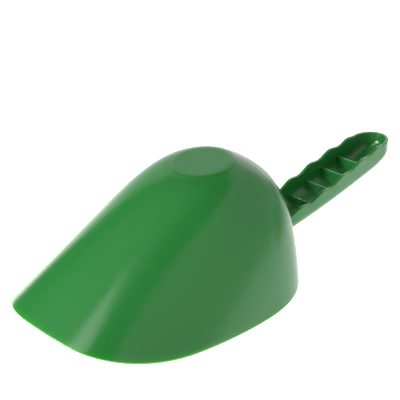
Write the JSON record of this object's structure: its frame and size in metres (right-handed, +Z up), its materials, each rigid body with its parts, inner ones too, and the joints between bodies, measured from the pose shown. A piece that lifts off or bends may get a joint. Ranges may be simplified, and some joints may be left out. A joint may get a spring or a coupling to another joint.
{
  "type": "feed scoop",
  "caption": "One-piece moulded plastic feed scoop: deep rounded bowl with a flat foot and swept lip, and a ribbed channel handle with finger grips, lying rim down.",
  "frame": {"origin": "bottom centre of the bounding box, on the plane that the rim's rear half lies in", "axes": "+Z up with the scoop lying rim down, -Y towards the pouring lip, +Y towards the end of the handle, X across, with X = 0 the plane of symmetry"},
  "size_m": [0.144, 0.3274, 0.0788],
  "materials": {
    "green_plastic": "smooth injection-moulded polypropylene, semi-gloss, slightly translucent at thin edges"
  },
  "bodies": {
    "root": {"bowl_shell": "green_plastic", "foot_disc": "green_plastic", "handle_channel": "green_plastic", "root_fillet_left": "green_plastic", "root_fillet_right": "green_plastic", "cross_rib_1": "green_plastic", "cross_rib_2": "green_plastic", "cross_rib_3": "green_plastic", "cross_rib_4": "green_plastic", "cross_rib_5": "green_plastic", "cross_rib_6": "green_plastic"}
  },
  "joints": []
}
